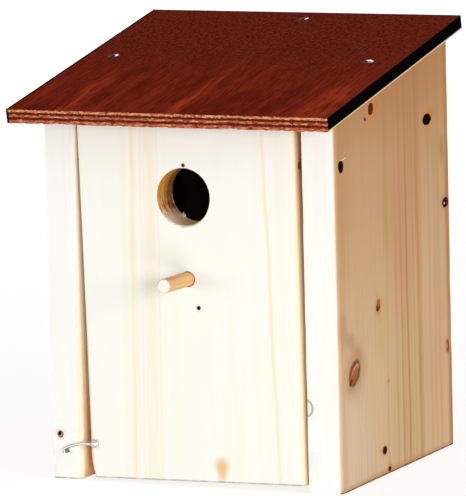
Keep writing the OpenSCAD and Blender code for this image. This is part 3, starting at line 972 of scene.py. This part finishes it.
class NESTBOX_OT_walls(bpy.types.Operator):
    """Shape the two side walls, with eased edges that are worn in places"""

    bl_idname = "nestbox.walls"
    bl_label = "Side walls"

    def execute(self, context):
        props = context.scene.nest_box_timber
        tones = (props.face, props.late, props.planed, props.planed_late, props.end_grain)
        # Both walls get a line of painted shade along their foot, grey on the left and the darker bored wood
        # colour on the right
        foot = Vector((0, 0, 0.1 * MM))
        left = dict(
            pith=(-0.16, 0.02, 0), inward=RIGHT, facing_knots=knots_on(RIGHT, LEFT_EDGE_KNOTS),
            soiled=(foot, UP, 1, props.soiled),
        )
        right = dict(
            pith=(0.15, 0.012, 0), inward=-RIGHT, knots=knots_on(BACK, SIDE_KNOTS, FRONT_Y),
            facing_knots=knots_on(RIGHT, RIGHT_EDGE_KNOTS), lines=SIDE_LINES,
            patches=patches_on(BACK, SIDE_PATCHES, FRONT_Y), soiled=(foot, UP, 0, props.bore_dark),
        )
        sunk_material = sunk_wood()
        walls = (("left", props.gap_arris, left), ("right", props.corner_arris, right))
        for seed, (side, width, looks) in enumerate(walls):
            node = side + "_wall"
            bm = cad_copy(node)
            low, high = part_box(node)
            round_front_edge(bm, high.x, width)
            slice_upright(bm, low, high)
            ease_board(bm, props, 3, seed * 7.3)
            if side == "left":
                wear_corner(bm, high.x, -1, low.z, props.corner_drop * 0.6, props.corner_depth * 0.5)
            bm.normal_update()
            # The holes over the sunk screws and nails take the dark sunk material, painted shade
            for sunk in ("pivot_screw", "upper_nail", "lower_nail", "floor_nail"):
                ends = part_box(f"{side}_{sunk}")
                line_hole(bm, 0, (ends[0] + ends[1]) / 2, SUNK_RADIUS, 0.8)
            material = timber(
                f"Pine {side} wall", tones, contrast=0.48, browner=(70 * MM, 8 * MM, 0.0, 0.7), **looks
            )
            piece_from(bm, node + "_board", node, "box", [material, sunk_material])
        return {"FINISHED"}


class NESTBOX_OT_inside_boards(bpy.types.Operator):
    """Shape the back wall and the floor"""

    bl_idname = "nestbox.inside_boards"
    bl_label = "Back and floor"

    def execute(self, context):
        props = context.scene.nest_box_timber
        tones = (props.face, props.late, props.face, props.late, props.end_grain)
        boards = (
            ("back_wall", "back_wall_board", (0.02, 0.135, 0), (0, 0, 0), UP, -BACK),
            ("floor_board", "floor_board_piece", (0.0, 0.05, 0), (0, math.radians(90), 0), RIGHT, UP),
        )
        for seed, (node, name, pith, turn, long, inward) in enumerate(boards):
            bm = cad_copy(node)
            low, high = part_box(node)
            slice_across(bm, long, low.dot(long), high.dot(long), INSIDE_STEP)
            ease_board(bm, props, 2, 20 + seed * 5.1)
            material = timber("Pine " + node.replace("_", " "), tones, pith, inward, turn=turn)
            piece_from(bm, name, node, "box", [material])
        return {"FINISHED"}


class NESTBOX_OT_front(bpy.types.Operator):
    """Shape the front that swings up, with its worn corner and its bored hole"""

    bl_idname = "nestbox.front"
    bl_label = "Front"

    def execute(self, context):
        props = context.scene.nest_box_timber
        bm = cad_copy("front_door")
        bm.normal_update()
        # The front's lowest face gives where its line of painted shade along the foot starts
        foot = min(bm.faces, key=lambda f: f.calc_center_median().z)
        soiled = (foot.verts[0].co.copy(), -foot.normal, 1, props.soiled)
        low, high = DOOR
        for edge_x in (low.x + DOOR_LEAN / 2, high.x - DOOR_LEAN / 2):
            round_front_edge(bm, edge_x, props.gap_arris * 0.9)
        slice_upright(bm, low, high)
        slice_across(bm, BACK, low.y + 0.7 * MM, low.y + 2.2 * MM, 0.5 * MM)
        ease_board(bm, props, 3, 3.7)
        opening = next(o for o in frame["record"]["physics"]["openings"] if o["name"] == "entry_hole")
        corners = [Vector(p) for p in opening["box_m"]]
        hole = (corners[0] + corners[1]) / 2
        radius = (corners[1].x - corners[0].x) / 2 * math.sqrt(2)
        widen_mouth(bm, hole, radius, props.mouth)
        wear_corner(bm, low.x + DOOR_LEAN, 1, low.z, props.corner_drop, props.corner_depth)
        bm.normal_update()
        line_hole(bm, 1, hole, radius + 0.9 * MM, 0.5)
        tones = (props.front, props.front_late, props.front, props.front_late, props.end_grain)
        face = timber(
            "Pale pine front", tones, (-0.012, 0.06, 0), BACK, facing_knots=knots_on(RIGHT, DOOR_KNOTS),
            facing_lines=DOOR_LINES, spacing_share=1.5, contrast=0.22,
            browner=(70 * MM, 190 * MM, 0.3, 0.88), gap_sides=True, soiled=soiled,
        )
        piece_from(bm, "front_board", "front_door", "door", [face, bored_wood(hole)])
        return {"FINISHED"}


class NESTBOX_OT_torn_fibres(bpy.types.Operator):
    """Add the torn fibres at the entry hole and at the sunk screw of the right wall"""

    bl_idname = "nestbox.torn_fibres"
    bl_label = "Torn fibres"

    def execute(self, context):
        material = torn_fibre()
        bm = bmesh.new()
        back_rim = DOOR[1].y - 0.6 * MM
        along, up = Vector((0.5, -0.35, 1)), Vector((0, -1, 0.3))
        for x, z, reach, width in ENTRY_FIBRES:
            splinter(bm, Vector((x * MM, back_rim, z * MM)), along, up, reach * MM, width * MM, 0.5)
        piece_from(bm, "entry_torn_fibre", None, "door", [material])
        bm = bmesh.new()
        side = RIGHT_WALL[1].x - 0.45 * MM
        along, up = Vector((0.08, 1, -0.04)), Vector((0.5, 0.1, 1))
        for y, z, reach, width in PIVOT_FIBRES:
            splinter(bm, Vector((side, FRONT_Y + y * MM, z * MM)), along, up, reach * MM, width * MM, 0.2)
        piece_from(bm, "pivot_torn_fibre", None, "box", [material])
        return {"FINISHED"}


class NESTBOX_OT_roof(bpy.types.Operator):
    """Shape the plywood roof, with chips along its lower front edge"""

    bl_idname = "nestbox.roof"
    bl_label = "Roof"

    def execute(self, context):
        props = context.scene.nest_box_roof
        bm = cad_copy("roof_panel")
        bm.normal_update()
        top = max((f for f in bm.faces if f.normal.z > 0.5), key=lambda f: f.calc_area())
        under = max((f for f in bm.faces if f.normal.z < -0.5), key=lambda f: f.calc_area())
        up = top.normal.copy()
        slope = math.atan2(-up.y, up.z)
        along = Vector((0, math.cos(slope), math.sin(slope)))
        corner = under.verts[0].co.copy()
        thickness = abs((top.verts[0].co - corner).dot(up))
        foot = Vector((0, corner.y, corner.z))
        foot -= along * ((foot.y - FRONT_Y) / math.cos(slope))
        low, high = ROOF
        slice_across(bm, RIGHT, low.x, high.x, 1.6 * MM)
        ease(bm, props.arris, 2)
        self.chip(bm, foot, up, along, props.chips)
        material = stained_plywood(slope, foot, thickness)
        piece_from(bm, "plywood_roof", "roof_panel", "box", [material])
        return {"FINISHED"}

    def chip(self, bm, foot, up, along, depth):
        """Chips the lowest part of the front edge upwards and backwards."""
        height, width = 1.2 * MM, 1.5 * MM
        front = min(v.co.dot(along) for v in bm.verts)
        for v in bm.verts:
            if (v.co - foot).dot(up) < height and v.co.dot(along) < front + width:
                share = max(0.0, noise.noise(Vector((v.co.x * CHIPS, 1.7, 0))))
                v.co += (up + along * 0.6) * depth * share


class NESTBOX_OT_perch(bpy.types.Operator):
    """Shape the dowel perch"""

    bl_idname = "nestbox.perch"
    bl_label = "Perch"

    def execute(self, context):
        props = context.scene.nest_box_dowel
        bm = cad_copy("perch")
        low, high = PERCH
        slice_across(bm, BACK, low.y + 2 * MM, high.y, 3 * MM)
        wear_down(bm, ease(bm, props.arris, 3), 0.12 * MM, PERCH_WEAR, 1.1)
        piece_from(bm, "dowel_perch", "perch", "door", [dowel_wood()])
        return {"FINISHED"}


class NESTBOX_OT_screws_and_nails(bpy.types.Operator):
    """Round the edges of the screws, pins and nails"""

    bl_idname = "nestbox.screws_and_nails"
    bl_label = "Screws and nails"

    def execute(self, context):
        props = context.scene.nest_box_fittings
        pivot = rusty_metal("Pivot screw", props.rust, props.orange, 0.0)
        bright = plated_metal("Bright pin", props.wire, props.zinc, 0.16, 0.35)
        dull = plated_metal("Dull pin", props.dull, props.steel, 0.4, 0.6)
        black = rusty_metal("Black nail", props.black, props.rust, 0.0)
        orange = rusty_metal("Orange nail", props.orange, props.rust, 0.0)
        rows = [
            ("box", f"{side}_roof_screw", "zinc_screw", stained_screw(f"{side}_roof_screw", spots))
            for side, spots in ROOF_SCREW_SPOTS.items()
        ]
        rows += [("door", f"{side}_pivot_screw", "zinc_screw", pivot) for side in ("left", "right")]
        rows += [("door", "hook_pin", "bright_wire", bright), ("box", "catch_pin", "bright_wire", dull)]
        for side in ("left", "right"):
            worn = self.worn_nail(props, f"{side}_upper_nail")
            for nail, material in (("upper", worn), ("lower", orange), ("floor", black)):
                rows.append(("box", f"{side}_{nail}_nail", "rusty_nail", material))
        for body, node, slot_name, material in rows:
            bm = cad_copy(node)
            ease(bm, props.arris, 2)
            piece_from(bm, node + "_piece", node, body, [material])
        return {"FINISHED"}

    def worn_nail(self, props, node):
        """A dark rusted nail whose head is worn bare in the middle."""
        low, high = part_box(node)
        spot = oval((low + high) / 2, BACK, UP, 1.3, 0.75)
        return rusty_metal("Worn " + node.replace("_", " "), props.black, props.bright, 0.3, spot)


class NESTBOX_OT_hook(bpy.types.Operator):
    """Bend the round wire of the hook: its eye, its bow, its turn over the catch pin and its tail"""

    bl_idname = "nestbox.hook"
    bl_label = "Hook"

    def execute(self, context):
        props = context.scene.nest_box_fittings
        low, high = HOOK_WIRE
        y, radius = (low.y + high.y) / 2, (high.y - low.y) / 2
        pin, catch = (
            Vector(((b[0].x + b[1].x) / 2, y, (b[0].z + b[1].z) / 2)) for b in (HOOK_PIN, CATCH_PIN)
        )
        leave = math.radians(195)
        foot = pin + Vector((math.cos(leave), 0, math.sin(leave))) * props.eye
        inner = props.bow - props.tip
        apart = foot - catch
        step = apart.normalized()
        along = (apart.length_squared + inner ** 2 - props.bow ** 2) / (2 * apart.length)
        centre = catch + step * along + Vector((step.z, 0, -step.x)) * math.sqrt(inner ** 2 - along ** 2)
        start, end = self.heading(centre, foot), self.heading(centre, catch)
        bm = bmesh.new()
        outward = Vector((math.cos(start), 0, math.sin(start)))
        stand = Matrix((outward, BACK, outward.cross(BACK))).transposed().to_4x4()
        edges = self.ring(bm, props.wire_sides, radius, Matrix.Translation(foot) @ stand)
        edges = self.bend(bm, edges, centre, end - start, 24)
        edges = self.bend(bm, edges, catch, math.pi - end, 12)
        grown = bmesh.ops.extrude_edge_only(bm, edges=edges)["geom"]
        tail = [g for g in grown if isinstance(g, bmesh.types.BMVert)]
        bmesh.ops.translate(bm, vec=-UP * props.tail, verts=tail)
        bmesh.ops.holes_fill(bm, edges=[e for e in bm.edges if e.is_boundary], sides=0)
        caps = [e for f in bm.faces if len(f.verts) > 4 for e in f.edges]
        round_edges(bm, caps, radius * 0.35, 3)
        eye = self.ring(bm, props.wire_sides, radius, Matrix.Translation(pin + RIGHT * props.eye))
        self.bend(bm, eye, pin, 2 * math.pi, 32, closed=True)
        bmesh.ops.remove_doubles(bm, verts=bm.verts, dist=MERGE)
        bmesh.ops.recalc_face_normals(bm, faces=bm.faces)
        wire = plated_metal("Bright wire", props.wire, props.zinc, 0.14, 0.3)
        piece_from(bm, "wire_hook", "hook_wire", "hook", [wire])
        return {"FINISHED"}

    def heading(self, a, b):
        return math.atan2(b.z - a.z, b.x - a.x)

    def ring(self, bm, sides, radius, stand):
        """Adds a cross-section of the wire and gives its edges."""
        verts = bmesh.ops.create_circle(bm, segments=sides, radius=radius)["verts"]
        bmesh.ops.transform(bm, matrix=stand, verts=verts)
        return list({e for v in verts for e in v.link_edges})

    def bend(self, bm, edges, centre, turn, steps, closed=False):
        """Draws the wire round a point. A turn about -Y carries X towards Z."""
        last = bmesh.ops.spin(
            bm, geom=edges, cent=centre, axis=-BACK, angle=turn, steps=steps, use_merge=closed
        )["geom_last"]
        return [g for g in last if isinstance(g, bmesh.types.BMEdge)]


class NESTBOX_OT_stage(bpy.types.Operator):
    """Set the floor, the lamps, the sky and the camera"""

    bl_idname = "nestbox.stage"
    bl_label = "Stage"

    def execute(self, context):
        props = context.scene.nest_box_stage
        self.lay_floor(props)
        self.hang_sky(props)
        self.hang_lamp("Key lamp", -24, 4, props.key, 2.8, 0.9)
        self.hang_lamp("Low lamp", 25, -23, props.low, 3.4, 1.1)
        self.hang_lamp("Fill lamp", 39, 7, props.fill, 0.7, 0.9)
        self.hang_lamp("Side lamp", 72, 12, props.side, 1.6, 1.3)
        self.hang_lamp("Back lamp", 222, 12, props.back, 2.6, 1.2)
        self.set_camera(props)
        context.scene.view_settings.view_transform = "Standard"
        return {"FINISHED"}

    def towards(self, azimuth, elevation):
        """The direction of something that stands round to the right and up by two angles."""
        level = math.cos(elevation)
        return Vector((math.sin(azimuth) * level, -math.cos(azimuth) * level, math.sin(elevation)))

    def hang_lamp(self, name, azimuth, elevation, watts, width, height):
        """Hangs an oval lamp that faces the box, at angles in degrees."""
        lamp = bpy.data.lights.new(name, "AREA")
        lamp.shape = "ELLIPSE"
        lamp.size = width
        lamp.size_y = height
        lamp.energy = watts
        hung = new_object(name, lamp)
        back = self.towards(math.radians(azimuth), math.radians(elevation))
        hung.location = UP * LAMP_AIM + back * LAMP_DISTANCE
        hung.rotation_euler = back.to_track_quat("Z", "Y").to_euler()

    def lay_floor(self, props):
        """Lays a pale floor a hair below the box, which can't be seen from below."""
        material = bpy.data.materials.new("Pale floor")
        material.use_nodes = True
        tree = material.node_tree
        shader = tree.nodes["Principled BSDF"]
        for key, value in (
            ("Base Color", (props.floor, props.floor, props.floor, 1)), ("Roughness", 1),
            ("Specular IOR Level", 0), ("Emission Color", (1, 1, 1, 1)),
            ("Emission Strength", 1 - props.floor * 0.66),
        ):
            shader.inputs[key].default_value = value
        clear = give(tree, "ShaderNodeBsdfTransparent", 0)
        behind = give(tree, "ShaderNodeNewGeometry", "Backfacing")
        both = give(tree, "ShaderNodeMixShader", 0, {0: behind, 1: wrap(shader.outputs[0]), 2: clear})
        plug(tree.nodes["Material Output"].inputs["Surface"], both)
        bm = bmesh.new()
        bmesh.ops.create_grid(bm, x_segments=1, y_segments=1, size=FLOOR_REACH)
        bmesh.ops.translate(bm, vec=-UP * FLOOR_DROP, verts=bm.verts)
        floor = object_from(bm, "floor", [material])
        for ray in ("diffuse", "glossy", "transmission", "shadow"):
            setattr(floor, "visible_" + ray, False)

    def hang_sky(self, props):
        """Lights the box evenly all round, before a white that only the camera and mirrors see."""
        world = bpy.data.worlds.new("Sky")
        world.use_nodes = True
        bpy.context.scene.world = world
        tree = world.node_tree
        sky = tree.nodes["Background"]
        sky.inputs["Color"].default_value = (1, 1, 1, 1)
        sky.inputs["Strength"].default_value = props.sky
        white = give(tree, "ShaderNodeBackground", 0, {"Color": (1, 1, 1, 1), "Strength": 0.99})
        rays = add(tree, "ShaderNodeLightPath").outputs
        seen = wrap(rays["Is Camera Ray"])
        for ray in ("Is Glossy Ray", "Is Transmission Ray"):
            seen = seen.reckon("MAXIMUM", wrap(rays[ray]))
        both = give(tree, "ShaderNodeMixShader", 0, {0: seen, 1: wrap(sky.outputs[0]), 2: white})
        plug(tree.nodes["World Output"].inputs["Surface"], both)

    def set_camera(self, props):
        """Sets the camera at its angles and its distance, moved aside and up and rolled."""
        turn = props.roll
        right = Vector((math.cos(props.azimuth), math.sin(props.azimuth), 0))
        back = self.towards(props.azimuth, props.elevation)
        up = back.cross(right)
        place = right * props.aside + up * props.up + back * props.distance + BACK * FRONT_Y
        across = right * math.cos(turn) - up * math.sin(turn)
        upward = right * math.sin(turn) + up * math.cos(turn)
        camera = new_object("Camera", bpy.data.cameras.new("Camera"))
        camera.data.lens = props.lens / MM
        camera.data.clip_end = 100
        turned = Matrix((across, upward, back)).transposed().to_4x4()
        camera.matrix_world = Matrix.Translation(place) @ turned
        bpy.context.scene.camera = camera


class NESTBOX_PT_finish(bpy.types.Panel):
    bl_label = "Nest box"
    bl_idname = "NESTBOX_PT_finish"
    bl_space_type = "VIEW_3D"
    bl_region_type = "UI"
    bl_category = "Nest box"

    def draw(self, context):
        for label, attribute, group, operators in SECTIONS:
            box = self.layout.box()
            box.label(text=label)
            for key in group.__annotations__:
                box.prop(getattr(context.scene, attribute), key)
            for operator in operators:
                box.operator(operator.bl_idname)


SECTIONS = (
    ("Timber", "nest_box_timber", NestBoxTimber,
     (NESTBOX_OT_walls, NESTBOX_OT_inside_boards, NESTBOX_OT_front, NESTBOX_OT_torn_fibres)),
    ("Knots", "nest_box_knots", NestBoxKnots, ()),
    ("Roof", "nest_box_roof", NestBoxRoof, (NESTBOX_OT_roof,)),
    ("Perch", "nest_box_dowel", NestBoxDowel, (NESTBOX_OT_perch,)),
    ("Fittings", "nest_box_fittings", NestBoxFittings, (NESTBOX_OT_screws_and_nails, NESTBOX_OT_hook)),
    ("Stage", "nest_box_stage", NestBoxStage, (NESTBOX_OT_stage,)),
)


def register():
    for _, attribute, group, operators in SECTIONS:
        bpy.utils.register_class(group)
        setattr(bpy.types.Scene, attribute, PointerProperty(type=group))
        for operator in operators:
            bpy.utils.register_class(operator)
    bpy.utils.register_class(NESTBOX_PT_finish)


def unregister():
    bpy.utils.unregister_class(NESTBOX_PT_finish)
    for _, attribute, group, operators in reversed(SECTIONS):
        for operator in reversed(operators):
            bpy.utils.unregister_class(operator)
        delattr(bpy.types.Scene, attribute)
        bpy.utils.unregister_class(group)


def main():
    register()
    bpy.ops.nestbox.walls()
    bpy.ops.nestbox.inside_boards()
    bpy.ops.nestbox.front()
    bpy.ops.nestbox.torn_fibres()
    bpy.ops.nestbox.roof()
    bpy.ops.nestbox.perch()
    bpy.ops.nestbox.screws_and_nails()
    bpy.ops.nestbox.hook()
    bpy.ops.nestbox.stage()


if __name__ == "__main__":
    main()
